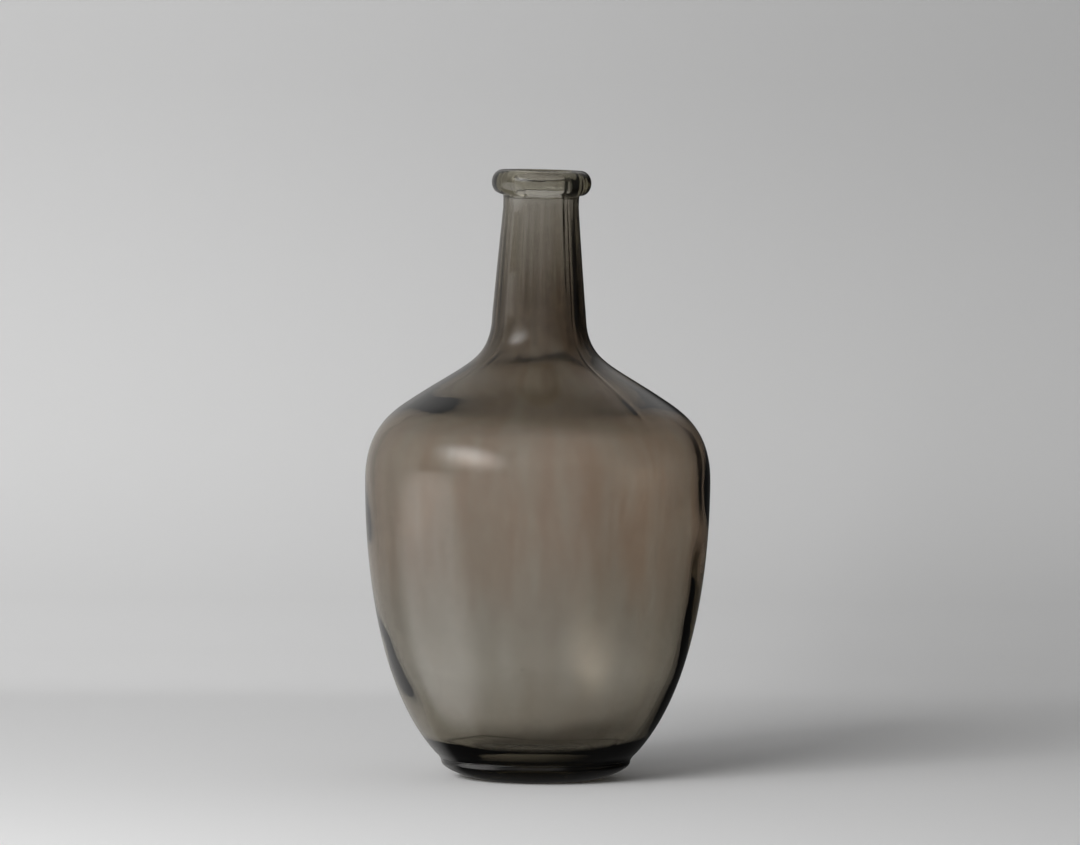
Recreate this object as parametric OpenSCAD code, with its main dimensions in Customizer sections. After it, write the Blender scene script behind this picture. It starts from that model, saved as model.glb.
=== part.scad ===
// Bottle vase with a narrow neck for a stem or two, in smoky mould-blown glass.
// The body is one blown bubble, kept here as six zones that meet face to face: base,
// flank, belly, shoulder, neck root and neck. The lip is a ring of hot glass wrapped
// round the neck's end. Every zone is turned round the Z axis, and Z = 0 is the table.

/* [Overall] */
// Height from the table to the crest of the lip
total_h = 310; // [304:1:318]
// Smoothness of the turned shapes, in sides per circle
sides = 96; // [48:16:192]

/* [Foot] */
// Radius of the flat ring that the vase stands on
stand_r = 27; // [22:0.5:32]
// Width of that flat ring
stand_w = 1.6; // [1:0.1:3]
// How far the middle of the underside is pushed up
punt_h = 5; // [3:0.5:6]
// Radius at the ring left where the mould's bottom plate met its sides
parting_r = 48.2; // [45:0.1:50]
// Height of that ring above the table
parting_z = 10.2; // [9:0.1:11]
// How far that ring stands proud
parting_proud = 0.35; // [0.1:0.05:0.6]
// Slope of the body just above the foot, in degrees from level
foot_slope = 44; // [40:1:50]

/* [Belly] */
// Radius at the widest point
belly_r = 87.9; // [82:0.1:92]
// Height of the widest point
belly_z = 152.5; // [145:0.5:160]

/* [Shoulder] */
// Radius half way round the shoulder
shoulder_r = 65; // [62:0.5:68]
// Height half way round the shoulder
shoulder_z = 193; // [190:0.5:196]
// Slope of the shoulder there, in degrees from level
shoulder_slope = 33.7; // [30:0.1:38]

/* [Neck] */
// Outer radius where the neck leaves the shoulder
neck_low_r = 24.15; // [23:0.05:26]
// Height where the neck leaves the shoulder
neck_low_z = 232.5; // [229:0.5:236]
// Outer radius under the lip
neck_top_r = 19.25; // [18.5:0.05:20]

/* [Lip] */
// Radius of the lip's crest
lip_crest_r = 20; // [19.5:0.1:20.5]
// How far the lip bulges out past its crest
lip_bulge = 5.35; // [4:0.05:7]
// How far the mouth rounds in from the crest
mouth_round = 4.2; // [3.5:0.1:4.6]
// Height of the lip above its widest level
lip_up = 6.4; // [5:0.1:7]
// Depth of the lip below its widest level
lip_down = 6.2; // [5:0.1:6.8]

/* [Glass thickness] */
// Wall just above the foot
wall_foot = 5.6; // [5:0.1:6.2]
// Wall of the belly
wall_belly = 4.8; // [3.6:0.1:5.4]
// Wall high on the shoulder
wall_shoulder = 5.7; // [4.6:0.1:6.2]
// Extra glass in the soft roll left inside the shoulder
shoulder_roll = 2; // [0:0.1:2.4]
// Wall where the shoulder turns into the neck
wall_neck_low = 5.5; // [4.5:0.1:6.5]
// Wall of the neck under the lip
wall_neck_top = 3.4; // [3:0.1:3.8]
// Height of the middle of the inside floor
floor_z = 8.5; // [8:0.1:11]
// How widely the bowl of the inside floor stays low before it curves up into the wall
floor_spread = 26; // [22:0.5:30]

/* [Hidden] */
UP = [0, 1];
LIP_Z = total_h - lip_up;
NECK_TOP = [neck_top_r, total_h - 19];
FOOT = [parting_r, parting_z];
BELLY = [belly_r, belly_z];
SHOULDER = [shoulder_r, shoulder_z];
NECK_LOW = [neck_low_r, neck_low_z];
// Directions along the outline, each at one of those points
foot_dir = [cos(foot_slope), sin(foot_slope)];
shoulder_dir = [-cos(shoulder_slope), sin(shoulder_slope)];
neck_dir = (NECK_TOP - NECK_LOW) / norm(NECK_TOP - NECK_LOW);
// Where the neck's wall ends inside the lip
collar_r = lip_crest_r - 0.4;
// Half the height of the parting ring
parting_half = 0.7;
// Fractions of the side's curve: where the base meets the flank, where the flank meets
// the belly, and where the inside wall runs out into the bowl of the floor
BASE_END = 0.16;
BELLY_START = 0.55;
BOWL_START = 0.11;
// How far the outline keeps to its direction at each point before it turns to the next
FOOT_PULL = 45.2;
BELLY_PULL_DOWN = 43.7;
BELLY_PULL_UP = 25.2;
SHOULDER_PULL_DOWN = 11.3;
SHOULDER_PULL_UP = 32;
NECK_PULL = 19.8;
HEEL_PULL_OUT = 6;
HEEL_PULL_DOWN = 4.2;
BOWL_PULL = 16;

// Outline of the outside: each stretch is a cubic curve given by its four points
SIDE = [FOOT, FOOT + FOOT_PULL * foot_dir, BELLY - BELLY_PULL_DOWN * UP, BELLY];
SHOULDER_TURN = [
    BELLY,
    BELLY + BELLY_PULL_UP * UP,
    SHOULDER - SHOULDER_PULL_DOWN * shoulder_dir,
    SHOULDER,
];
NECK_SWEEP = [
    SHOULDER,
    SHOULDER + SHOULDER_PULL_UP * shoulder_dir,
    NECK_LOW - NECK_PULL * neck_dir,
    NECK_LOW,
];
NECK_RISE = straight(NECK_LOW, NECK_TOP);

// Thickness of the wall against the height of its outside, without the shoulder's roll
WALL = [
    [parting_z + 2, wall_foot],
    [parting_z + 18, wall_belly + 0.4],
    [parting_z + 40, wall_belly],
    [shoulder_z - 28, wall_belly],
    [shoulder_z + 12, wall_shoulder],
    [neck_low_z, wall_neck_low],
    [NECK_TOP[1], wall_neck_top],
];
// Where the roll is thickest, and how far up and down it spreads
ROLL_Z = shoulder_z + 10;
ROLL_SPREAD = 11;

// The whole thickness where the outside is at height z: the roll is a bell curve
function wall_at(z) = lookup(z, WALL) + shoulder_roll * exp(-pow((z - ROLL_Z) / ROLL_SPREAD, 2));

// A straight stretch, written as a cubic curve
function straight(a, b) = [a, a + (b - a) / 3, a + (b - a) * 2 / 3, b];

// The point a fraction t of the way along a cubic curve
function cubic(p, t) =
    pow(1 - t, 3) * p[0] + 3 * pow(1 - t, 2) * t * p[1]
    + 3 * (1 - t) * t * t * p[2] + pow(t, 3) * p[3];

// The direction of travel there, one unit long
function cubic_dir(p, t) =
    let (d = pow(1 - t, 2) * (p[1] - p[0]) + 2 * (1 - t) * t * (p[2] - p[1])
        + t * t * (p[3] - p[2]))
    d / norm(d);

// The point inside the wall, straight through the glass from the outline
function inner_point(p, t) =
    let (o = cubic(p, t), d = cubic_dir(p, t))
    o + wall_at(o[1]) * [-d[1], d[0]];

// Points in n steps along a curve, between two fractions of it
function along(p, from, to, n) = [for (i = [0:n]) cubic(p, from + (to - from) * i / n)];

// The points inside the wall over the same stretch, taken back downwards
function inside(p, from, to, n) = [for (i = [n:-1:0]) inner_point(p, from + (to - from) * i / n)];

// The lip's section: an oval that is fuller outside its crest than inside
function lip_point(angle) = [
    lip_crest_r + (cos(angle) > 0 ? lip_bulge : mouth_round) * cos(angle),
    LIP_Z + (sin(angle) > 0 ? lip_up : lip_down) * sin(angle),
];

// The underside: pushed up in the middle, then the flat ring it stands on
function underside() = let (inner_r = stand_r - stand_w / 2) [
    for (i = [0:10]) [inner_r * i / 10, punt_h * (1 + cos(18 * i)) / 2],
];

// The heel: leaves the table flat and meets the parting ring upright
function heel() = let (start = [stand_r + stand_w / 2, 0], end = FOOT - parting_half * UP)
    along([start, start + [HEEL_PULL_OUT, 0], end - HEEL_PULL_DOWN * UP, end], 0, 1, 12);

// The thin bead left along the mould's parting line
function parting_ring() = [
    for (a = [-60:30:60]) FOOT + [parting_proud * cos(a), parting_half * sin(a)],
];

// The inside floor: one shallow bowl from the wall down to the middle
function inside_floor() =
    let (top = inner_point(SIDE, BOWL_START), down = -cubic_dir(SIDE, BOWL_START),
        middle = [0, floor_z])
    along([top, top + BOWL_PULL * down, middle + [floor_spread, 0], middle], 0.05, 1, 24);

// Turns an outline round the Z axis
module turned(outline) {
    rotate_extrude($fn = sides) polygon(outline);
}

// The thick bottom: underside, heel, parting ring and the floor inside
module base() {
    color([0.24, 0.23, 0.21, 0.9])
        turned(concat(
            underside(),
            heel(),
            parting_ring(),
            along(SIDE, 0.01, BASE_END, 5),
            inside(SIDE, BOWL_START, BASE_END, 3),
            inside_floor()
        ));
}

// The lower side of the bubble, which narrows to the foot
module flank() {
    color([0.43, 0.40, 0.36, 0.7])
        turned(concat(
            along(SIDE, BASE_END, BELLY_START, 12),
            inside(SIDE, BASE_END, BELLY_START, 12)
        ));
}

// The fullest part of the bubble, up to its widest level
module belly() {
    color([0.47, 0.44, 0.40, 0.7])
        turned(concat(
            along(SIDE, BELLY_START, 1, 12),
            inside(SIDE, BELLY_START, 1, 12)
        ));
}

// The round turn from the belly on to the shoulder's slope
module shoulder() {
    color([0.40, 0.37, 0.33, 0.7])
        turned(concat(
            along(SHOULDER_TURN, 0, 1, 14),
            inside(SHOULDER_TURN, 0, 1, 14)
        ));
}

// The sweep from the shoulder's slope up into the neck, where the wall thickens
module neck_root() {
    color([0.36, 0.33, 0.29, 0.75])
        turned(concat(
            along(NECK_SWEEP, 0, 1, 14),
            inside(NECK_SWEEP, 0, 1, 14)
        ));
}

// The neck: a tapered tube whose end rounds over into the mouth
module neck() {
    color([0.33, 0.31, 0.27, 0.75])
        turned(concat(
            along(NECK_RISE, 0, 1, 1),
            [[collar_r, lip_point(-80)[1]], [collar_r, lip_point(95)[1]]],
            [for (a = [100:10:180]) lip_point(a)],
            inside(NECK_RISE, 0, 1, 6)
        ));
}

// The lip: a thread of glass wrapped round the neck's end and tooled smooth
module lip_ring() {
    color([0.42, 0.40, 0.36, 0.75])
        turned(concat(
            [[collar_r, lip_point(-80)[1]]],
            [for (a = [-80:10:90]) lip_point(a)],
            [[collar_r, lip_point(95)[1]]]
        ));
}

base();
flank();
belly();
shoulder();
neck_root();
neck();
lip_ring();
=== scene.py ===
"""A bottle vase in smoky mould-blown glass, standing on a pale paper sweep.

Everything is in metres, in the frame of the CAD model: the vase stands on Z = 0, turns
round the Z axis, and faces -Y. Lengths given in millimetres are multiplied by MM.
"""
import math

import bpy
import numpy as np
from mathutils import Euler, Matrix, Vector


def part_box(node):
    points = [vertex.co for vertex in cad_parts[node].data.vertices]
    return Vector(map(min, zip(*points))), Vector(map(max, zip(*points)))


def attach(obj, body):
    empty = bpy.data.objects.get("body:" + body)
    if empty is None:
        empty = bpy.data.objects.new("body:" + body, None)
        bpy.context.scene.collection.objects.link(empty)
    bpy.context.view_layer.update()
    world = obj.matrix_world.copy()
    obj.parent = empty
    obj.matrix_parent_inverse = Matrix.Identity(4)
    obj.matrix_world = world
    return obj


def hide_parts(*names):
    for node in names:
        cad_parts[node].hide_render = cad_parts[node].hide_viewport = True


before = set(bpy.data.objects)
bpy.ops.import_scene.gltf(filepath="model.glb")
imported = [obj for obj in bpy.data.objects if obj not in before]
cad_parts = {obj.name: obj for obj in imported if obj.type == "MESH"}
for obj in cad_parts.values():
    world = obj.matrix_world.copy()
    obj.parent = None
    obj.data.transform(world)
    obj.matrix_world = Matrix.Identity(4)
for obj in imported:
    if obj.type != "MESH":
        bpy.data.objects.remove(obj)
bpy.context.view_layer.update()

bl_info = {
    "name": "Smoky Bottle Vase",
    "version": (1, 0, 0),
    "blender": (4, 5, 0),
    "location": "View3D > Sidebar > Vase",
    "description": "Builds a mould-blown glass bottle vase and its studio stage",
    "category": "Add Mesh",
}

MM = 0.001
ZONES = ("base", "flank", "belly", "shoulder", "neck_root", "neck", "lip_ring")
UP = np.array([0.0, 1.0])
FULL_TURN = 2 * math.pi
# Slopes of the outline in degrees from level: just above the foot, and on the shoulder
FOOT_SLOPE, SHOULDER_SLOPE = 44, 33.7
# How far below the crest of the lip the neck's straight side ends, inside the lip
COLLAR_DROP = 19 * MM
# Half the lip's depth: above its widest level, and below it
LIP_UP, LIP_DOWN = 6.4 * MM, 6.2 * MM


# ---------------------------------------------------------------- properties

class VaseShape(bpy.types.PropertyGroup):
    """The turned outline of the vase, as radii and heights."""

    height: bpy.props.FloatProperty(
        name="Height", description="From the table to the crest of the lip",
        default=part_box("lip_ring")[1][2], unit="LENGTH")
    stand_radius: bpy.props.FloatProperty(
        name="Standing ring", description="Radius of the flat ring that the vase stands on",
        default=27 * MM, unit="LENGTH")
    push_up: bpy.props.FloatProperty(
        name="Push-up", description="How far the middle of the underside is raised",
        default=5 * MM, unit="LENGTH")
    parting_radius: bpy.props.FloatProperty(
        name="Parting radius", description="Radius where the bottom plate met the mould's sides",
        default=48.2 * MM, unit="LENGTH")
    parting_height: bpy.props.FloatProperty(
        name="Parting height", description="Height of that line above the table",
        default=10.2 * MM, unit="LENGTH")
    belly_radius: bpy.props.FloatProperty(
        name="Belly radius", description="Radius at the widest level",
        default=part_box("belly")[1][0], unit="LENGTH")
    belly_height: bpy.props.FloatProperty(
        name="Belly height", description="Height of the widest level",
        default=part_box("belly")[1][2], unit="LENGTH")
    shoulder_radius: bpy.props.FloatProperty(
        name="Shoulder radius", description="Radius half way round the shoulder",
        default=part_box("neck_root")[1][0], unit="LENGTH")
    shoulder_height: bpy.props.FloatProperty(
        name="Shoulder height", description="Height half way round the shoulder",
        default=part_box("shoulder")[1][2], unit="LENGTH")
    neck_low_radius: bpy.props.FloatProperty(
        name="Neck root radius", description="Outer radius where the neck leaves the shoulder",
        default=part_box("neck")[1][0], unit="LENGTH")
    neck_low_height: bpy.props.FloatProperty(
        name="Neck root height", description="Height where the neck leaves the shoulder",
        default=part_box("neck_root")[1][2], unit="LENGTH")
    neck_top_radius: bpy.props.FloatProperty(
        name="Neck top radius", description="Outer radius just under the lip",
        default=19.25 * MM, unit="LENGTH")
    crest_radius: bpy.props.FloatProperty(
        name="Lip crest", description="Radius of the highest circle of the lip",
        default=20 * MM, unit="LENGTH")
    lip_radius: bpy.props.FloatProperty(
        name="Lip radius", description="Outer radius of the lip",
        default=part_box("lip_ring")[1][0], unit="LENGTH")
    mouth_radius: bpy.props.FloatProperty(
        name="Mouth radius", description="Radius of the mouth at its narrowest",
        default=15.8 * MM, unit="LENGTH")


class VaseWall(bpy.types.PropertyGroup):
    """How thick the glass is, and how unevenly it settled."""

    foot: bpy.props.FloatProperty(
        name="Foot wall", description="Glass thickness just above the foot",
        default=5.6 * MM, unit="LENGTH")
    belly: bpy.props.FloatProperty(
        name="Belly wall", description="Glass thickness of the belly",
        default=4.8 * MM, unit="LENGTH")
    shoulder: bpy.props.FloatProperty(
        name="Shoulder wall", description="Glass thickness high on the shoulder",
        default=5.7 * MM, unit="LENGTH")
    neck_low: bpy.props.FloatProperty(
        name="Neck root wall", description="Glass thickness where the shoulder becomes the neck",
        default=5.5 * MM, unit="LENGTH")
    roll: bpy.props.FloatProperty(
        name="Shoulder roll", description="Extra glass in the soft roll inside the shoulder",
        default=2.0 * MM, unit="LENGTH")
    neck_top: bpy.props.FloatProperty(
        name="Neck wall", description="Glass thickness under the lip",
        default=3.4 * MM, unit="LENGTH")
    floor: bpy.props.FloatProperty(
        name="Floor height", description="Height of the middle of the inside floor",
        default=8.5 * MM, unit="LENGTH")
    floor_spread: bpy.props.FloatProperty(
        name="Floor spread", description="How widely the inside floor stays low",
        default=26 * MM, unit="LENGTH")
    seam: bpy.props.FloatProperty(
        name="Seam height", description="How proud the two upright mould seams stand",
        default=0.22 * MM, unit="LENGTH")
    seam_turn: bpy.props.FloatProperty(
        name="Seam turn", description="Where the first upright seam lies, counted round from +X",
        default=math.radians(-45), unit="ROTATION")
    flutes: bpy.props.FloatProperty(
        name="Neck flutes", description="Depth of the upright flutes in the neck's bore",
        default=0.18 * MM, unit="LENGTH")
    settling: bpy.props.FloatProperty(
        name="Settling", description="How much the inside of the body swells and thins",
        default=0.30 * MM, unit="LENGTH")


class VaseGlass(bpy.types.PropertyGroup):
    """The colours and the finish of the glass and of its smoky lacquer."""

    cast: bpy.props.StringProperty(
        name="Cast", description="What white light becomes through the cast's depth of glass",
        default="#CAC7BC")
    cast_depth: bpy.props.FloatProperty(
        name="Cast depth", description="The depth of glass that gives the cast",
        default=10 * MM, unit="LENGTH")
    smoke: bpy.props.StringProperty(
        name="Smoke", description="What white light becomes through one coat of grey smoke",
        default="#C1BDB7")
    brown: bpy.props.StringProperty(
        name="Brown", description="What white light becomes through one coat of brown",
        default="#FFEDE4")
    streaks: bpy.props.FloatProperty(
        name="Streaks", description="How unevenly the lacquer was sprayed",
        default=0.6, subtype="FACTOR")
    ior: bpy.props.FloatProperty(
        name="IOR", description="Refractive index of soda-lime glass", default=1.52)
    polish: bpy.props.FloatProperty(
        name="Roughness", description="Roughness of the fire-polished skin",
        default=0.0, subtype="FACTOR")


class VaseStage(bpy.types.PropertyGroup):
    """The paper sweep and the light."""

    # painted light and shade: the paper is lighter on the window's side and darker on the far side
    paper_left: bpy.props.StringProperty(
        name="Paper, left", description="Colour of the sweep on the window's side",
        default="#E6E6E6")
    paper_right: bpy.props.StringProperty(
        name="Paper, right", description="Colour of the sweep on the far side",
        default="#D2D2D2")
    window_light: bpy.props.FloatProperty(
        name="Window", description="Radiance of the soft window on the left", default=4.8)
    key_light: bpy.props.FloatProperty(
        name="Key", description="Power of the soft key lamp on the left, for the paper",
        default=56.0, unit="POWER")
    fill_light: bpy.props.FloatProperty(
        name="Fill", description="Radiance of the even light on the paper", default=0.24)
    room_light: bpy.props.FloatProperty(
        name="Room", description="Radiance of the room between its pale and dark patches",
        default=0.42)


# ---------------------------------------------------------------- outline

def cubic(points, t):
    """Points at fractions t along the cubic curve that the four given points shape."""
    p = np.asarray(points, float)
    t = np.asarray(t, float)[:, None]
    return (1 - t)**3 * p[0] + 3 * (1 - t)**2 * t * p[1] + 3 * (1 - t) * t**2 * p[2] + t**3 * p[3]


def towards(degrees):
    """The direction that rises this many degrees from level, one unit long."""
    return np.array([math.cos(math.radians(degrees)), math.sin(math.radians(degrees))])


def steps(count, start=0.0, end=1.0):
    """Evenly spaced fractions, with the last one left to the next stretch."""
    return np.linspace(start, end, count, endpoint=False)


def side_normals(points):
    """Unit normals to the right of the direction of travel along a line of points."""
    way = np.gradient(points, axis=0)
    way /= np.linalg.norm(way, axis=1)[:, None]
    return np.stack([way[:, 1], -way[:, 0]], 1)


def outer_curves(shape):
    """The four cubic curves of the outside, from the parting line to the top of the neck:
    the side, the turn of the shoulder, the sweep into the neck, and the straight neck. Each
    keeps its direction at both ends for the length that multiplies it."""
    foot = np.array([shape.parting_radius, shape.parting_height])
    belly = np.array([shape.belly_radius, shape.belly_height])
    shoulder = np.array([shape.shoulder_radius, shape.shoulder_height])
    root = np.array([shape.neck_low_radius, shape.neck_low_height])
    top = np.array([shape.neck_top_radius, shape.height - COLLAR_DROP])
    foot_way, shoulder_way = towards(FOOT_SLOPE), towards(180 - SHOULDER_SLOPE)
    neck_way = (top - root) / np.linalg.norm(top - root)
    side = (foot, foot + 45.2 * MM * foot_way, belly - 43.7 * MM * UP, belly)
    turn = (belly, belly + 25.2 * MM * UP, shoulder - 11.3 * MM * shoulder_way, shoulder)
    sweep = (shoulder, shoulder + 32 * MM * shoulder_way, root - 19.8 * MM * neck_way, root)
    rise = (root, root + (top - root) / 3, root + (top - root) * 2 / 3, top)
    return side, turn, sweep, rise


def wall_thickness(shape, wall, z):
    """The wall's thickness against the height of its outside: straight between stations,
    with a bell on top for the roll of glass left inside the shoulder."""
    p = shape.parting_height
    heights = (p + 2 * MM, p + 18 * MM, p + 40 * MM, shape.shoulder_height - 28 * MM,
               shape.shoulder_height + 12 * MM, shape.neck_low_height,
               shape.height - COLLAR_DROP)
    depths = (wall.foot, wall.belly + 0.4 * MM, wall.belly, wall.belly, wall.shoulder,
              wall.neck_low, wall.neck_top)
    from_roll = z - shape.shoulder_height - 10 * MM
    return np.interp(z, heights, depths) + wall.roll * np.exp(-(from_roll / (11 * MM))**2)


def lip_section(shape, start, end, count):
    """Points round the lip's oval between two angles, counted from level outwards and up.
    It is a quarter ellipse in each quadrant, fuller outside its crest than inside it."""
    angle = np.radians(np.linspace(start, end, count))
    x, y = np.cos(angle), np.sin(angle)
    bulge, inward = shape.lip_radius - shape.crest_radius, shape.crest_radius - shape.mouth_radius
    return np.stack([shape.crest_radius + np.where(x > 0, bulge, inward) * x,
                     shape.height - LIP_UP + np.where(y > 0, LIP_UP, LIP_DOWN) * y], 1)


def underside(shape):
    """A cosine swell in the middle, then the flat ring, then the heel's cubic curve, and
    a short upright stretch to the parting line."""
    half_ring = 0.8 * MM
    inner, outer = shape.stand_radius - half_ring, shape.stand_radius + half_ring
    r = inner * steps(16)
    swell = np.stack([r, shape.push_up * (1 + np.cos(math.pi * r / inner)) / 2], 1)
    ring = np.array([[inner, 0.0], [shape.stand_radius, 0.0]])
    foot = np.array([shape.parting_radius, shape.parting_height])
    start, end = np.array([outer, 0.0]), foot - 1.5 * MM * UP
    heel = cubic((start, start + [6 * MM, 0], end - 3.6 * MM * UP, end), steps(16))
    upright = foot + MM * np.linspace(-1.5, 0.0, 10)[:-1, None] * UP
    return np.vstack([swell, ring, heel, upright])


def inside_floor(wall, top, way_down):
    """One cubic curve for a shallow bowl, from the wall down to the axis."""
    middle = np.array([0.0, wall.floor])
    bowl = (top, top + 16 * MM * way_down, middle + [wall.floor_spread, 0], middle)
    return cubic(bowl, np.linspace(0, 1, 34)[1:])


def closed_section(shape, wall):
    """The whole section of the glass, from the axis underneath, up the outside, over the
    lip and down the inside to the axis. The inside is the outside moved in along its
    normals by the wall, and then the bowl of the floor. Also returns the share of each
    point that is inside surface: 0 outside, 1 inside, and between the two over the lip."""
    side, turn, sweep, rise = outer_curves(shape)
    low = underside(shape)
    near = cubic(side, 0.12 * steps(12)**1.3)
    body = [cubic(side, steps(50, 0.12)), cubic(turn, steps(22)), cubic(sweep, steps(24)),
            cubic(rise, steps(22))]
    crease = shape.height - 12.7 * MM
    collar = np.array([rise[3], [rise[3][0] + 0.05 * MM, crease - 1.5 * MM],
                       [rise[3][0] + 0.25 * MM, crease]])
    lip = lip_section(shape, -84, 180, 50)
    outside = np.vstack([near, *body, collar[:1]])
    normal = side_normals(outside)
    inner = outside - normal * wall_thickness(shape, wall, outside[:, 1])[:, None]
    inner = inner[outside[:, 1] > shape.parting_height + 11.5 * MM]
    way_down = inner[0] - inner[2]
    way_down /= np.linalg.norm(way_down)
    floor = inside_floor(wall, inner[0], way_down)
    section = np.vstack([low, outside, collar[1:], lip, inner[::-1], floor])
    inside = np.concatenate([np.zeros(len(low) + len(outside) + len(collar) - 1),
                             np.clip(np.linspace(-0.6, 1.2, len(lip)), 0, 1),
                             np.ones(len(inner) + len(floor))])
    return section, inside


# ---------------------------------------------------------------- unevenness

def hump(x, width):
    """A bell of height 1 at 0: the exponential of minus half the square of x over width."""
    return np.exp(-0.5 * (x / width)**2)


def between(x, low, high, soft):
    """1 between low and high, falling smoothly to 0 over a soft edge."""
    rise = np.clip((x - low) / soft + 0.5, 0, 1)
    fall = np.clip((high - x) / soft + 0.5, 0, 1)
    return rise * rise * (3 - 2 * rise) * fall * fall * (3 - 2 * fall)


def waves(turn, z, seed, lobes, tall, count):
    """A sum of cosine waves that run round and up the vase: each has a whole number of
    lobes, a height and a phase drawn from the seed. The sum's size is about 1."""
    draw = np.random.RandomState(seed)
    total = 0.0
    for _ in range(count):
        k = draw.randint(lobes[0], lobes[1] + 1)
        rise = FULL_TURN / (draw.uniform(*tall) * MM) * draw.choice([-1, 1])
        total = total + draw.uniform(0.6, 1.0) * np.cos(k * turn + rise * z + draw.uniform(0, 6.28))
    return total / math.sqrt(count / 2)


def outside_relief(shape, wall, turn, r, z):
    """How far the outside stands proud: the parting bead with a groove above it, the two
    upright mould seams, which are sharper up the neck, a faint waviness from the mould, and
    shorter waves where the neck's root was tooled."""
    p = shape.parting_height
    bead = 0.34 * MM * hump(z - p, 0.45 * MM) - 0.16 * MM * hump(z - p - 1.9 * MM, 0.5 * MM)
    relief = bead * (r > 40 * MM)
    on_body = between(z, p, shape.height - 14 * MM, 3 * MM)
    for seam in (wall.seam_turn, wall.seam_turn + math.pi):
        away = (turn - seam + math.pi) % FULL_TURN - math.pi
        on_neck = between(z, shape.shoulder_height + 12 * MM, shape.height, 30 * MM)
        width = (1.5 - 1.1 * on_neck) * MM
        relief = relief + wall.seam * (0.35 + 0.65 * on_neck) * hump(away * r, width) * on_body
    wavy = waves(turn, z, 3, (2, 5), (70, 160), 5)
    relief = relief + 0.03 * MM * wavy * between(z, 20 * MM, shape.height - 22 * MM, 10 * MM)
    root = shape.neck_low_height
    tooled = waves(turn, z, 29, (4, 9), (14, 30), 5)
    return relief + 0.045 * MM * tooled * between(z, root - 18 * MM, root + 8 * MM, 14 * MM)


def inside_relief(shape, wall, turn, r, z):
    """How much thicker the wall is from the inside: flutes down the neck's bore, folds
    where the shoulder turns into it, slow swells in the body, and three lens-shaped drips
    that settled in the flank. Each drip has its turn in degrees, its height, its spread
    across and up, and its depth, in millimetres."""
    root = shape.neck_low_height
    in_neck = between(z, root - 14 * MM, shape.height - 8 * MM, 22 * MM)
    flutes = waves(turn, z, 11, (7, 26), (400, 900), 9) * wall.flutes * in_neck
    at_root = between(z, shape.shoulder_height + 4 * MM, root - 2 * MM, 16 * MM)
    folds = waves(turn, z, 5, (3, 7), (30, 70), 5) * 0.25 * MM * at_root
    in_body = between(z, 24 * MM, shape.shoulder_height + 6 * MM, 24 * MM)
    swells = waves(turn, z, 8, (2, 6), (60, 150), 6) * wall.settling * in_body
    drips = 0.0
    for degrees, height, wide, tall, deep in ((-6, 88, 9, 13, 1.4), (-172, 70, 5, 4, 1.2),
                                              (-14, 112, 6, 8, 0.6)):
        away = (turn - math.radians(degrees) + math.pi) % FULL_TURN - math.pi
        drips = drips + deep * MM * hump(away * r, wide * MM) * hump(z - height * MM, tall * MM)
    return flutes + folds + swells + drips


def lacquer_and_painted_shade(turn, z, share):
    """How heavy the two sprayed tints are on the outside, against height: a grey smoke that
    is heaviest round the neck and on the heel, and a brown that fades out low on the
    body and up the neck. The heavier smoke on the heel is painted shade: it darkens the
    heel as the shadow under the vase does. The lip has little, and there is none inside.
    Both coats are heavier on the side towards +X, away from the window: painted shade."""
    heights = MM * np.array((0, 4, 24, 36, 50, 80, 112, 142, 160, 178, 200, 223, 243, 263,
                             283, 295, 298, 310))
    # painted shade: the heavy smoke at the first two heights darkens the heel as the shadow under
    # the vase does
    smoke = (1.2, 1.7, 0.9, 0.75, 0.65, 1.0, 1.0, 0.88, 0.78, 0.8, 1.65, 2.4, 2.85, 2.1,
             1.6, 1.4, 0.3, 0.25)
    brown = (0, 0.1, 0.2, 0.3, 0.15, 0.25, 1.0, 1.1, 0.95, 0.95, 0.8, 1.0, 0.8, 0.25,
             0.15, 0.1, 0.0, 0.0)
    # painted shade: both coats are heavier towards +X, on the side away from the window
    side = (0.94 + 0.22 * np.cos(turn + math.radians(20))) * (1 - share)
    return np.interp(z, heights, smoke) * side, np.interp(z, heights, brown) * side


def lean(shape, x, z):
    """The lip leans a little towards +X and dips on that side: the sideways move grows
    with the square of the height above the neck's root, and the dip with x."""
    reach = np.clip((z - shape.neck_low_height) / (shape.height - shape.neck_low_height), 0, 1)
    tilt = math.radians(0.86) * np.clip((z - 285 * MM) / (12 * MM), 0, 1)
    return x + 0.9 * MM * reach**2, z - x * tilt


# ---------------------------------------------------------------- mesh helpers

def turn_angles(wall, count, extra):
    """Angles round the vase: evenly spaced, with more of them close to each seam."""
    even = np.linspace(0, FULL_TURN, count, endpoint=False)
    offsets = np.linspace(-1, 1, extra)
    offsets = np.radians(3.2) * np.sign(offsets) * np.abs(offsets)**1.6
    close = [(wall.seam_turn + half + offsets) % FULL_TURN for half in (0.0, math.pi)]
    apart = np.min([np.abs((even - wall.seam_turn - half + math.pi) % FULL_TURN - math.pi)
                    for half in (0.0, math.pi)], axis=0)
    return np.sort(np.concatenate([even[apart > np.radians(3.6)], *close]))


def ring_faces(rings, sides):
    """Quads between neighbouring rings of a closed surface of revolution."""
    i, j = np.meshgrid(np.arange(rings - 1), np.arange(sides), indexing="ij")
    right = (j + 1) % sides
    return np.stack([i * sides + j, i * sides + right,
                     (i + 1) * sides + right, (i + 1) * sides + j], -1).reshape(-1, 4)


def cap_faces(ring_start, sides, pole, upward):
    """Triangles from one ring to the pole that closes it."""
    here = np.arange(sides)
    there = (here + 1) % sides
    pair = (here, there) if upward else (there, here)
    return np.stack([ring_start + pair[0], ring_start + pair[1], np.full(sides, pole)], 1)


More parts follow.
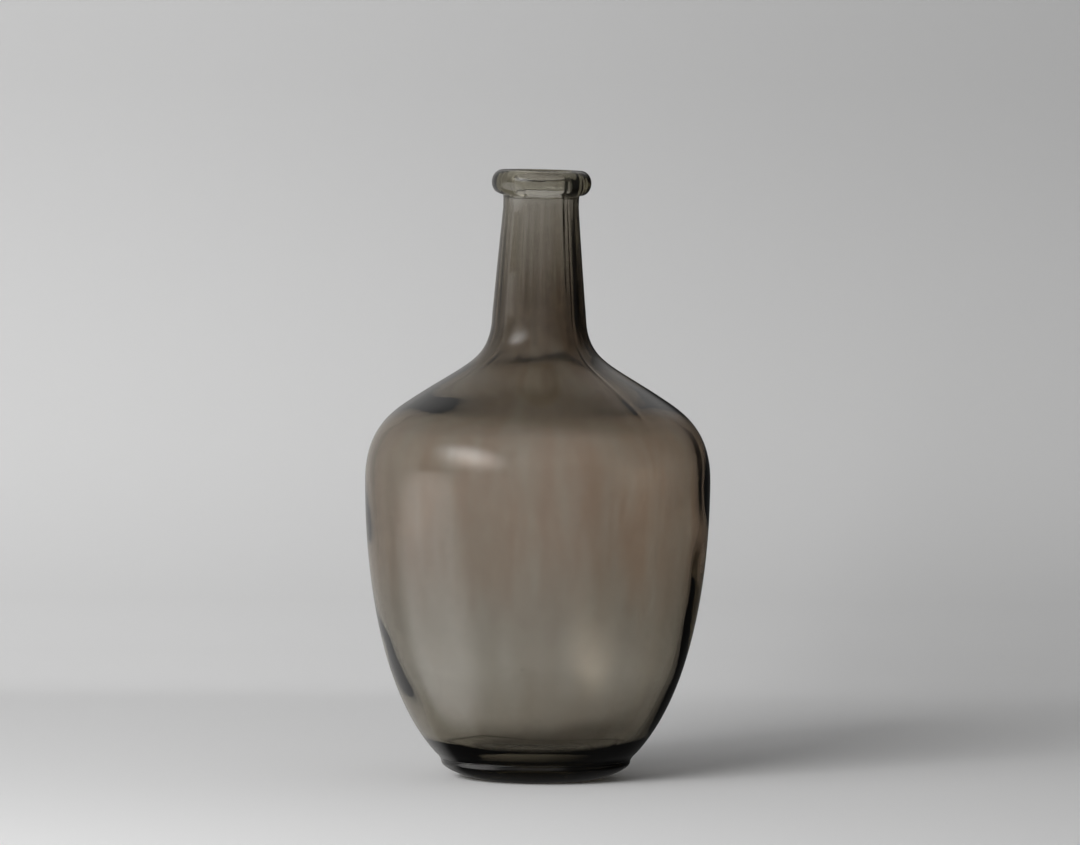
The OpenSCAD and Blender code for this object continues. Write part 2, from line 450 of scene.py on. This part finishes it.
def make_mesh(name, vertices, *faces):
    """A smooth-shaded mesh object at the origin from arrays of corners and faces."""
    mesh = bpy.data.meshes.new(name)
    mesh.from_pydata(vertices.tolist(), [], [f for group in faces for f in group.tolist()])
    mesh.polygons.foreach_set("use_smooth", np.ones(len(mesh.polygons), bool))
    mesh.update()
    piece = bpy.data.objects.new(name, mesh)
    bpy.context.scene.collection.objects.link(piece)
    return piece


def store(piece, name, values):
    """Keeps one number at each corner of a mesh, for its material to read."""
    attribute = piece.data.attributes.new(name, "FLOAT", "POINT")
    attribute.data.foreach_set("value", np.asarray(values, float).ravel())


def seed_bubbles(shape, wall):
    """Air seeds caught in the wall: small ovals stretched along the way the glass was
    drawn, half way through its thickness, with a row of them up the first seam. Each has
    its turn in degrees, its height and radius in millimetres, and its stretch, and is a
    closed void, so its faces look inwards. Returns their corners and faces."""
    turns, rings = 10, 6
    named = [(-93, 269.5, 0.42, 1.0), (-84, 226.5, 0.40, 1.0), (-54, 219, 0.34, 1.0),
             (-95.7, 61.5, 0.42, 1.0)]
    draw = np.random.RandomState(21)
    more = [(draw.uniform(0, 360), draw.uniform(30, 285), draw.uniform(0.14, 0.26),
             draw.uniform(1.0, 2.2)) for _ in range(22)]
    outline = np.vstack([cubic(c, steps(40)) for c in outer_curves(shape)])
    corners, quads, caps = [], [], []
    a = np.linspace(0, FULL_TURN, turns, endpoint=False)
    b = np.linspace(0, math.pi, rings + 2)[1:-1]
    drawn = [(math.degrees(wall.seam_turn) - 1 + draw.uniform(-0.6, 0.6), height,
              draw.uniform(0.10, 0.19), draw.uniform(1.5, 4)) for height in np.arange(222, 292, 1.4)]
    for degrees, height, size, stretch in named + more + drawn:
        z = height * MM
        depth = wall_thickness(shape, wall, z) / 2
        r = np.interp(z, outline[:, 1], outline[:, 0]) - depth * 1.05
        centre = np.array([r * math.cos(math.radians(degrees)),
                           r * math.sin(math.radians(degrees)), z])
        ball = np.stack([np.sin(b)[:, None] * np.cos(a), np.sin(b)[:, None] * np.sin(a),
                         np.cos(b)[:, None] * stretch + 0 * a], -1).reshape(-1, 3)
        poles = np.array([[0, 0, stretch], [0, 0, -stretch]])
        start = sum(len(c) for c in corners)
        corners.append(centre + size * MM * np.vstack([ball, poles]))
        top, bottom = start + rings * turns, start + rings * turns + 1
        quads.append(start + ring_faces(rings, turns))
        caps.append(cap_faces(start, turns, top, False))
        caps.append(cap_faces(start + (rings - 1) * turns, turns, bottom, True))
    return np.vstack(corners), np.vstack(quads), np.vstack(caps)


def glass_mesh(shape, wall):
    """The section carried round the Z axis. Each point moves along its own normal by the
    relief of its side, the fused edge under the lip sags unevenly, and the neck leans. The
    air seeds are voids in it. Each corner keeps its coats of lacquer, with painted shade
    on the heel and on the +X side, and how dull the tools left it at the neck's root."""
    section, inside = closed_section(shape, wall)
    normal = side_normals(section)
    turn = turn_angles(wall, 206, 25)
    rim = section[1:-1]
    r, z = rim[:, :1], rim[:, 1:]
    share = inside[1:-1][:, None]
    relief = ((1 - share) * outside_relief(shape, wall, turn[None], r, z)
              + share * inside_relief(shape, wall, turn[None], r, z))
    fused_edge = hump(z - (shape.height - 12.4 * MM), 1.0 * MM) * (1 - share)
    sag = waves(turn[None], z * 0, 17, (3, 9), (100, 200), 6) * 0.32 * MM * fused_edge
    far = r + normal[1:-1, :1] * relief
    high = z + normal[1:-1, 1:] * relief + sag
    y = far * np.sin(turn)
    x, up = lean(shape, far * np.cos(turn), high)
    poles = np.array([[0, 0, section[0, 1]], [0, 0, section[-1, 1]]])
    corners = np.vstack([np.stack([x, y, up], -1).reshape(-1, 3), poles])
    rings, sides = x.shape
    quads = ring_faces(rings, sides)
    under = cap_faces(0, sides, rings * sides, False)
    over = cap_faces((rings - 1) * sides, sides, rings * sides + 1, True)
    seeds, seed_quads, seed_caps = seed_bubbles(shape, wall)
    offset = len(corners)
    vessel = make_mesh("glass_vessel", np.vstack([corners, seeds]), quads, under, over,
                       seed_quads + offset, seed_caps + offset)
    tooled = 0.2 * hump(z - shape.neck_low_height + 5 * MM, 8 * MM)
    # the smoke and brown depths include painted shade on the heel and on the side towards +X
    for name, coat in zip(("smoke", "brown", "tooled"), (*lacquer_and_painted_shade(turn, z, share), tooled)):
        depth = np.zeros(len(vessel.data.vertices))
        depth[:rings * sides] = np.broadcast_to(coat, x.shape).ravel()
        store(vessel, name, depth)
    return vessel


# ---------------------------------------------------------------- materials

def linear(hex_colour):
    """An sRGB hex colour as the linear RGB that shaders work in."""
    value = np.array([int(hex_colour[i:i + 2], 16) for i in (1, 3, 5)]) / 255
    return np.where(value <= 0.04045, value / 12.92, ((value + 0.055) / 1.055)**2.4)


def add_node(tree, kind, settings=None, inputs=None):
    """Adds a node, sets its properties, and links or sets its inputs by name or number."""
    node = tree.nodes.new(kind)
    for name, value in (settings or {}).items():
        setattr(node, name, value)
    for key, value in (inputs or {}).items():
        if isinstance(value, bpy.types.NodeSocket):
            tree.links.new(value, node.inputs[key])
        else:
            node.inputs[key].default_value = value
    return node


def new_material(name):
    """An empty node material and its tree."""
    material = bpy.data.materials.new(name)
    material.use_nodes = True
    material.node_tree.nodes.clear()
    return material, material.node_tree


def smoky_glass(glass):
    """Soda-lime glass with the grey-green cast of remelted cullet, blown in an iron mould,
    fire-polished, and sprayed outside with a thin smoky brown lacquer. The cast shows
    where the glass is deep, in the base and the lip; the lacquer tints every pass through
    the outside and was laid down in upright streaks. The mould leaves a faint chill ripple
    a few millimetres long, handling leaves a thin film in patches, and the standing ring
    is scuffed dull."""
    material, tree = new_material("lacquered_soda_lime_glass")
    place = add_node(tree, "ShaderNodeTexCoord").outputs["Object"]
    stretched = add_node(tree, "ShaderNodeMapping", inputs={
        "Vector": place, "Scale": (1.0, 1.0, 0.45)}).outputs[0]
    ripple = add_node(tree, "ShaderNodeTexNoise", inputs={
        "Vector": stretched, "Scale": 1 / (9 * MM), "Detail": 2.0, "Roughness": 0.45})
    chill = add_node(tree, "ShaderNodeBump", inputs={
        "Strength": 0.18, "Distance": 0.05 * MM, "Height": ripple.outputs["Fac"]})
    film = add_node(tree, "ShaderNodeTexNoise", inputs={
        "Vector": place, "Scale": 1 / (38 * MM), "Detail": 4.0, "Roughness": 0.6})
    film_rough = add_node(tree, "ShaderNodeMapRange", inputs={
        "Value": film.outputs["Fac"], "From Min": 0.45, "From Max": 0.75,
        "To Min": glass.polish, "To Max": glass.polish + 0.035})
    height = add_node(tree, "ShaderNodeSeparateXYZ", inputs={0: place}).outputs["Z"]
    scuff = add_node(tree, "ShaderNodeMapRange", inputs={
        "Value": height, "From Min": 0.1 * MM, "From Max": 0.5 * MM,
        "To Min": 0.4, "To Max": 0.0})
    tooled = add_node(tree, "ShaderNodeAttribute", {"attribute_name": "tooled"})
    hazed = add_node(tree, "ShaderNodeMath", {"operation": "ADD"}, {
        0: film_rough.outputs[0], 1: tooled.outputs["Fac"]})
    rough = add_node(tree, "ShaderNodeMath", {"operation": "MAXIMUM"}, {
        0: hazed.outputs[0], 1: scuff.outputs[0]})
    level = add_node(tree, "ShaderNodeVectorMath", {"operation": "MULTIPLY"}, {
        0: place, 1: (1.0, 1.0, 0.0)}).outputs[0]
    bearing = add_node(tree, "ShaderNodeVectorMath", {"operation": "NORMALIZE"}, {0: level})
    upright = add_node(tree, "ShaderNodeVectorMath", {"operation": "MULTIPLY_ADD"}, {
        0: place, 1: (0.0, 0.0, 2.5), 2: bearing.outputs[0]})
    streak = add_node(tree, "ShaderNodeTexNoise", inputs={
        "Vector": upright.outputs[0], "Scale": 5.0, "Detail": 5.0, "Roughness": 0.62})
    coats = []
    for name, colour, swing in (("smoke", glass.smoke, glass.streaks / 5),
                                ("brown", glass.brown, glass.streaks)):
        depth = add_node(tree, "ShaderNodeAttribute", {"attribute_name": name})
        uneven = add_node(tree, "ShaderNodeMapRange", inputs={
            "Value": streak.outputs["Fac"], "From Min": 0.35, "From Max": 0.65,
            "To Min": 1 - swing, "To Max": 1 + swing})
        heavy = add_node(tree, "ShaderNodeMath", {"operation": "MULTIPLY"}, {
            0: depth.outputs["Fac"], 1: uneven.outputs[0]})
        passed = add_node(tree, "ShaderNodeCombineXYZ")
        for channel, clear in enumerate(linear(colour)):
            power = add_node(tree, "ShaderNodeMath", {"operation": "POWER"}, {
                0: float(clear), 1: heavy.outputs[0]})
            tree.links.new(power.outputs[0], passed.inputs[channel])
        coats.append(passed.outputs[0])
    # the coats' tint includes painted shade on the heel and on the side towards +X
    lacquer = add_node(tree, "ShaderNodeVectorMath", {"operation": "MULTIPLY"}, {
        0: coats[0], 1: coats[1]})
    skin = add_node(tree, "ShaderNodeBsdfPrincipled", inputs={
        "Base Color": lacquer.outputs[0], "Roughness": rough.outputs[0], "IOR": glass.ior,
        "Transmission Weight": 1.0, "Normal": chill.outputs[0]})
    absorbed = -np.log(linear(glass.cast)) / glass.cast_depth
    density = float(absorbed.max() / 0.95)
    body = add_node(tree, "ShaderNodeVolumeAbsorption", inputs={
        "Color": (*(1 - absorbed / density), 1.0), "Density": density})
    add_node(tree, "ShaderNodeOutputMaterial", inputs={
        "Surface": skin.outputs[0], "Volume": body.outputs[0]})
    return material


def matte_paper(stage):
    """Uncoated backdrop paper: matt, with a fine tooth. It thins to nothing at its outer
    edges and seen from behind, so that the sweep can be looked through from the back."""
    material, tree = new_material("matte_backdrop_paper")
    place = add_node(tree, "ShaderNodeTexCoord").outputs["Object"]
    tooth = add_node(tree, "ShaderNodeTexNoise", inputs={
        "Vector": place, "Scale": 1 / (3 * MM), "Detail": 3.0})
    bump = add_node(tree, "ShaderNodeBump", inputs={
        "Strength": 0.12, "Distance": 0.2 * MM, "Height": tooth.outputs["Fac"]})
    axes = add_node(tree, "ShaderNodeSeparateXYZ", inputs={0: place}).outputs
    # painted light and shade: the paper's tone goes from light on the window's side to darker on the
    # far side
    side = add_node(tree, "ShaderNodeMapRange", {"interpolation_type": "SMOOTHSTEP"}, {
        "Value": axes["X"], "From Min": -0.45, "From Max": 0.5})
    tone = add_node(tree, "ShaderNodeMix", {"data_type": "RGBA"}, {
        "Factor": side.outputs[0], "A": (*linear(stage.paper_left), 1.0),
        "B": (*linear(stage.paper_right), 1.0)})
    bend = add_node(tree, "ShaderNodeAttribute", {"attribute_name": "bend_shade"})
    shade = add_node(tree, "ShaderNodeVectorMath", {"operation": "SCALE"}, {
        0: tone.outputs["Result"], "Scale": bend.outputs["Fac"]})
    paper = add_node(tree, "ShaderNodeBsdfDiffuse", inputs={
        "Color": shade.outputs[0], "Normal": bump.outputs[0]})
    clear = add_node(tree, "ShaderNodeBsdfTransparent")
    edge = add_node(tree, "ShaderNodeAttribute", {"attribute_name": "fade"})
    behind = add_node(tree, "ShaderNodeNewGeometry").outputs["Backfacing"]
    hide = add_node(tree, "ShaderNodeMath", {"operation": "MAXIMUM"}, {
        0: edge.outputs["Fac"], 1: behind})
    mix = add_node(tree, "ShaderNodeMixShader", inputs={
        0: hide.outputs[0], 1: paper.outputs[0], 2: clear.outputs[0]})
    add_node(tree, "ShaderNodeOutputMaterial", inputs={"Surface": mix.outputs[0]})
    return material


def window_glow(stage):
    """Daylight through a thin blind: even in the middle and soft towards its edges."""
    material, tree = new_material("window_daylight")
    soft = add_node(tree, "ShaderNodeAttribute", {"attribute_name": "glow"})
    strength = add_node(tree, "ShaderNodeMath", {"operation": "MULTIPLY"}, {
        0: soft.outputs["Fac"], 1: stage.window_light})
    light = add_node(tree, "ShaderNodeEmission", inputs={
        "Color": (1.0, 1.0, 1.0, 1.0), "Strength": strength.outputs[0]})
    add_node(tree, "ShaderNodeOutputMaterial", inputs={"Surface": light.outputs[0]})
    return material


# ---------------------------------------------------------------- stage

def sheet_mesh(name, grid, values, attribute):
    """A grid of points as one open sheet, with a number stored at each point."""
    rows, columns = grid.shape[:2]
    i, j = np.meshgrid(np.arange(rows - 1), np.arange(columns - 1), indexing="ij")
    quads = np.stack([i * columns + j, i * columns + j + 1,
                      (i + 1) * columns + j + 1, (i + 1) * columns + j], -1).reshape(-1, 4)
    sheet = make_mesh(name, grid.reshape(-1, 3), quads)
    store(sheet, attribute, values)
    return sheet


def paper_sweep(stage):
    """The floor, a quarter turn and an upright wall behind the vase, as one sheet of
    paper. It fades out at its sides, at its front and at its top."""
    back, bend, top = 0.78, 0.30, 1.5
    flat = np.linspace(-1.25, back - bend, 60)
    angle = np.linspace(0, math.pi / 2, 24)[1:]
    rise = np.linspace(bend, top, 30)[1:]
    y = np.concatenate([flat, back - bend + bend * np.sin(angle), 0 * rise + back])
    z = np.concatenate([0 * flat, bend - bend * np.cos(angle), rise])
    x = np.linspace(-1.3, 1.3, 80)
    grid = np.stack([x[None] + 0 * y[:, None], y[:, None] + 0 * x, z[:, None] + 0 * x], -1)
    out = np.hypot(grid[..., 0], np.minimum(grid[..., 1], 0))
    upright = np.clip(grid[..., 2] / 0.1, 0, 1)
    side = np.maximum(-grid[..., 0] - 0.38, grid[..., 0] - 0.36) / 0.10
    fade = np.clip((out - 0.85) / 0.35, 0, 1)
    fade = np.maximum(fade, upright * np.clip(side, 0, 1))
    fade = np.maximum(fade, np.clip((grid[..., 2] - 0.46) / 0.16, 0, 1))
    sweep = sheet_mesh("paper_sweep", grid, fade * fade * (3 - 2 * fade), "fade")
    # painted shade: the paper is a little lighter on the floor and darker up the bend and the wall
    heights = (0.0, 0.015, 0.045, 0.08, 0.125, 0.175, 0.25, 0.35)
    shades = (1.08, 0.95, 0.84, 0.83, 0.82, 0.79, 0.74, 0.68)
    store(sweep, "bend_shade", np.interp(grid[..., 2], heights, shades))
    sweep.data.materials.append(matte_paper(stage))
    sweep.visible_glossy = False
    return sweep


def soft_window(stage):
    """A tall pane of light to the left and a little in front, facing the vase. Its light
    falls off towards each edge."""
    turn, distance, width, height, low = math.radians(-142), 2.6, 3.8, 2.2, 0.55
    centre = np.array([math.cos(turn), math.sin(turn), 0]) * distance
    across = np.array([-math.sin(turn), math.cos(turn), 0])
    u = np.linspace(-0.5, 0.5, 60)[None, :, None]
    v = np.linspace(0, 1, 40)[:, None, None]
    grid = centre + across * u * width + np.array([0, 0, 1.0]) * (low + v * height)
    glow = hump(u[..., 0] + 0.3 * (v[..., 0] - 0.5), 0.19) * hump(v[..., 0] - 0.5, 0.22)
    pane = sheet_mesh("window_pane", grid, glow, "glow")
    pane.data.materials.append(window_glow(stage))
    pane.visible_camera = False
    return pane


def key_lamp(stage):
    """A large soft lamp up on the left that lights the paper and throws the shadow back
    to the right. The glass doesn't mirror it."""
    lamp = bpy.data.lights.new("key_lamp", "AREA")
    lamp.shape, lamp.size, lamp.size_y = "RECTANGLE", 1.3, 1.0
    lamp.energy = stage.key_light
    turn, rise, distance = math.radians(-121), math.radians(23), 2.6
    place = Vector((math.cos(turn) * math.cos(rise), math.sin(turn) * math.cos(rise),
                    math.sin(rise))) * distance
    key = bpy.data.objects.new("key_lamp", lamp)
    key.location = place
    key.rotation_mode = "QUATERNION"
    key.rotation_quaternion = place.to_track_quat("Z", "Y")
    key.visible_glossy = key.visible_transmission = False
    bpy.context.scene.collection.objects.link(key)


def lobe(tree, way, axis, edge, middle):
    """1 in the middle of a round patch of directions and 0 outside its edge, where edge
    and middle are the angles from its axis in degrees."""
    aim = Vector(axis).normalized()
    near = add_node(tree, "ShaderNodeVectorMath", {"operation": "DOT_PRODUCT"}, {
        0: way, 1: aim}).outputs["Value"]
    return add_node(tree, "ShaderNodeMapRange", {"interpolation_type": "SMOOTHSTEP"}, {
        "Value": near, "From Min": math.cos(math.radians(edge)),
        "From Max": math.cos(math.radians(middle))}).outputs[0]


def room(stage):
    """The world. The glass mirrors a dim room of soft round patches, each with its
    direction, the angles of its edge and of its even middle, and its radiance; a later one
    lies over the ones before. The paper is lit evenly by the fill, and seen straight on the
    world is plain and pale, so that the vase has a light ground from every side."""
    world = bpy.data.worlds.new("studio_room")
    world.use_nodes = True
    tree = world.node_tree
    tree.nodes.clear()
    way = add_node(tree, "ShaderNodeTexCoord").outputs["Generated"]
    level = stage.room_light
    floor_below = ((0.0, 0.0, -1.0), 62, 40, 0.05)
    floor_behind = ((0.0, 0.85, -0.50), 62, 48, 0.04)
    wall_back_left = ((-0.60, 0.75, 0.05), 42, 28, 0.42)
    floor_right = ((0.90, 0.10, -0.50), 60, 40, 0.05)
    lit_floor_left = ((-0.96, -0.16, -0.38), 36, 12, 1.7)
    small_lamp_right = ((0.76, -0.53, 0.37), 12, 3, 2.4)
    dark_wall_right = ((0.90, 0.35, 0.20), 66, 42, 0.012)
    dim_front_right = ((0.90, -0.35, 0.10), 50, 25, 0.08)
    dim_ceiling = ((0.20, 0.55, 0.85), 50, 20, 0.2)
    ceiling_behind = ((0.0, 0.80, 0.60), 30, 16, 0.45)
    patches = (floor_below, floor_behind, wall_back_left, floor_right, lit_floor_left,
               small_lamp_right, dark_wall_right, dim_front_right, dim_ceiling, ceiling_behind)
    for axis, edge, middle, radiance in patches:
        mix = add_node(tree, "ShaderNodeMix", inputs={
            0: lobe(tree, way, axis, edge, middle), 2: level, 3: radiance})
        level = mix.outputs[0]
    mirrored = add_node(tree, "ShaderNodeBackground", inputs={
        "Color": (1.0, 0.985, 0.965, 1.0), "Strength": level})
    ray = add_node(tree, "ShaderNodeLightPath").outputs
    shown = mirrored.outputs[0]
    for kind, strength in (("Is Diffuse Ray", stage.fill_light), ("Is Camera Ray", 0.5)):
        plain = add_node(tree, "ShaderNodeBackground", inputs={
            "Color": (1.0, 1.0, 1.0, 1.0), "Strength": strength})
        shown = add_node(tree, "ShaderNodeMixShader", inputs={
            0: ray[kind], 1: shown, 2: plain.outputs[0]}).outputs[0]
    add_node(tree, "ShaderNodeOutputWorld", inputs={"Surface": shown})
    bpy.context.scene.world = world


def set_camera(shape):
    """A long lens a little above the vase, looking slightly down, with no shift. The view
    width is what the frame holds across at the vase."""
    scene = bpy.context.scene
    lens = bpy.data.cameras.new("camera")
    camera = bpy.data.objects.new("camera", lens)
    scene.collection.objects.link(camera)
    distance, eye_height, view_width, roll = 4.6, 0.43, 548.85 * MM, math.radians(0.45)
    lens.sensor_width = 36.0
    lens.lens = lens.sensor_width * distance / view_width
    lens.clip_end = 100.0
    target = Vector((0.9 * MM, 0.0, 0.5857 * shape.height))
    camera.location = (target.x, -distance, eye_height)
    look = (target - camera.location).to_track_quat("-Z", "Y")
    camera.rotation_mode = "QUATERNION"
    camera.rotation_quaternion = look @ Euler((0, 0, roll)).to_quaternion()
    scene.camera = camera
    scene.view_settings.view_transform = "Standard"


# ---------------------------------------------------------------- operators and panel

class VASE_OT_glass(bpy.types.Operator):
    """Build the blown glass vessel with its fused lip"""

    bl_idname = "vase.glass"
    bl_label = "Glass Vessel"

    def execute(self, context):
        scene = context.scene
        vessel = glass_mesh(scene.vase_shape, scene.vase_wall)
        vessel.data.materials.append(smoky_glass(scene.vase_glass))
        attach(vessel, "root")
        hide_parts(*ZONES)
        return {"FINISHED"}


class VASE_OT_stage(bpy.types.Operator):
    """Lay the paper sweep, light it and place the camera"""

    bl_idname = "vase.stage"
    bl_label = "Stage"

    def execute(self, context):
        scene = context.scene
        paper_sweep(scene.vase_stage)
        soft_window(scene.vase_stage)
        key_lamp(scene.vase_stage)
        room(scene.vase_stage)
        set_camera(scene.vase_shape)
        return {"FINISHED"}


class VASE_PT_panel(bpy.types.Panel):
    """Lists the steps and the sizes and colours behind them"""

    bl_label = "Vase"
    bl_idname = "VASE_PT_panel"
    bl_space_type = "VIEW_3D"
    bl_region_type = "UI"
    bl_category = "Vase"

    def draw(self, context):
        layout = self.layout
        for operator in OPERATORS:
            layout.operator(operator.bl_idname)
        for name in GROUPS:
            group = getattr(context.scene, name)
            for key in group.__annotations__:
                layout.prop(group, key)


GROUPS = {"vase_shape": VaseShape, "vase_wall": VaseWall, "vase_glass": VaseGlass,
          "vase_stage": VaseStage}
OPERATORS = (VASE_OT_glass, VASE_OT_stage)
CLASSES = (*GROUPS.values(), *OPERATORS, VASE_PT_panel)


def register():
    """Registers the classes and hangs the property groups on the scene."""
    for cls in CLASSES:
        bpy.utils.register_class(cls)
    for name, group in GROUPS.items():
        setattr(bpy.types.Scene, name, bpy.props.PointerProperty(type=group))


def unregister():
    """Takes both away again."""
    for name in GROUPS:
        delattr(bpy.types.Scene, name)
    for cls in reversed(CLASSES):
        bpy.utils.unregister_class(cls)


def main():
    """Registers the add-on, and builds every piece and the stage."""
    register()
    bpy.ops.vase.glass()
    bpy.ops.vase.stage()


if __name__ == "__main__":
    main()
